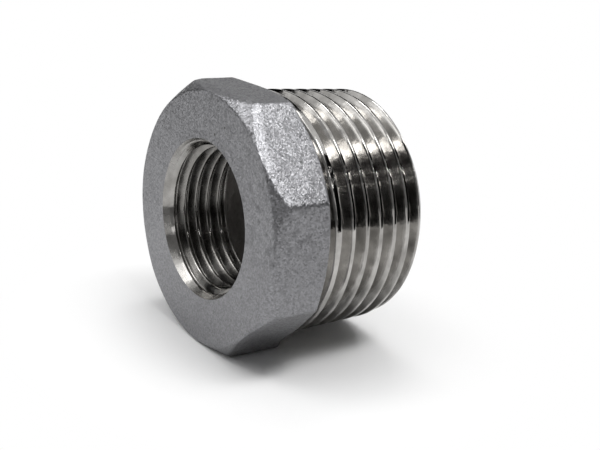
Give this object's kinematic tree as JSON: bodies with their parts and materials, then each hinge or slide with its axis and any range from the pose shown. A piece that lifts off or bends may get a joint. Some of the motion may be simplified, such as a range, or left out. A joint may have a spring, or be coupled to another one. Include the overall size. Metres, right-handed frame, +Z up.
{
  "type": "pipe reducing bushing",
  "caption": "Eight-sided cast steel reducing bushing with a tapered male pipe thread behind its head and a smaller female pipe thread through it.",
  "frame": {"origin": "under the middle of the bushing, on the surface that its lowest flat lies on", "axes": "+X along the thread axis, from the head's open face to the male thread's small end; +Z up, square to the lowest flat"},
  "size_m": [0.025, 0.0346, 0.0346],
  "materials": {
    "cast_stainless": "blasted casting with machined threads and countersink"
  },
  "bodies": {
    "root": {"bushing": "cast_stainless"}
  },
  "joints": []
}
